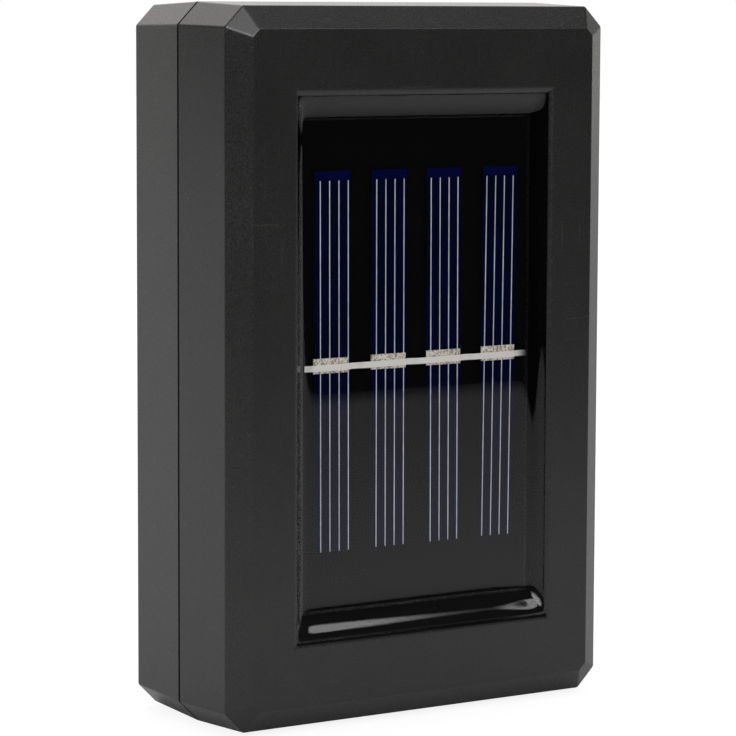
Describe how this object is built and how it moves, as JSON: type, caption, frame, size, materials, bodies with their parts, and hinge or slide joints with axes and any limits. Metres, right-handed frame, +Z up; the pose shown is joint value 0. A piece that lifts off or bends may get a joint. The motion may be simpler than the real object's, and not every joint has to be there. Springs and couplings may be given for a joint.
{
  "type": "fence light",
  "caption": "Flat black box that hangs on a fence by a keyhole, with a resin-covered solar panel in its front and light windows in its ends.",
  "frame": {"origin": "middle of the back face, where the light lies against the fence", "axes": "+Z up along the light's length, +Y out of the back towards the fence, so the front faces -Y; +X is right as one faces the light"},
  "size_m": [0.07, 0.03, 0.11],
  "materials": {
    "casing_black": "fine matt texture",
    "rubber_black": "soft matt",
    "screw_steel": "zinc plated",
    "panel_board": "black lacquer",
    "silicon": "blue anti-reflex coat with crystal grain",
    "tinned_copper": "tinned, bright",
    "solder": "dull solder",
    "resin_clear": "clear, mirror-like top",
    "window_clear": "clear, moulded",
    "lamp_board": "white lacquer on metal",
    "led": "phosphor under a clear dome",
    "battery_steel": "nickel plated",
    "battery_sleeve": "shrunk film",
    "insulator": "card",
    "circuit_board": "lacquered laminate",
    "chip_black": "moulded epoxy",
    "choke_body": "varnished",
    "capacitor_can": "bare can",
    "switch_plastic": "moulded",
    "switch_white": "moulded",
    "spring_steel": "bright wire",
    "lead_red": "soft insulation",
    "lead_black": "soft insulation"
  },
  "bodies": {
    "housing": {"battery_can": "battery_steel", "battery_cap": "battery_steel", "battery_lead_minus": "lead_black", "battery_lead_plus": "lead_red", "battery_sleeve": "battery_sleeve", "battery_tab_minus": "battery_steel", "battery_tab_plus": "battery_steel", "battery_washer": "insulator", "board_screws": "screw_steel", "button_seal": "rubber_black", "capacitor": "capacitor_can", "case_screws": "screw_steel", "choke": "choke_body", "control_board": "circuit_board", "driver_chip": "chip_black", "front_shell": "casing_black", "lower_lamp_board": "lamp_board", "lower_lamp_lead_minus": "lead_black", "lower_lamp_lead_plus": "lead_red", "lower_led": "led", "lower_window": "window_clear", "panel_lead_minus": "lead_black", "panel_lead_plus": "lead_red", "rear_shell": "casing_black", "resin_fill": "resin_clear", "rim_seal": "rubber_black", "solar_board": "panel_board", "solar_cell_1": "silicon", "solar_cell_2": "silicon", "solar_cell_3": "silicon", "solar_cell_4": "silicon", "solder_patches": "solder", "switch_base": "switch_plastic", "switch_case": "switch_plastic", "switch_spring": "spring_steel", "tab_ribbons": "tinned_copper", "upper_lamp_board": "lamp_board", "upper_lamp_lead_minus": "lead_black", "upper_lamp_lead_plus": "lead_red", "upper_led": "led", "upper_window": "window_clear"},
    "button": {"button_cap": "rubber_black", "switch_plunger": "switch_white"}
  },
  "joints": [
    {"name": "button_press", "type": "slide", "parent": "housing", "child": "button", "axis": [0, -1, 0], "range_m": [0, 0.0012], "stiffness_N_per_m": 1200, "springref_m": -0.0008, "deforming": ["switch_spring"]}
  ]
}
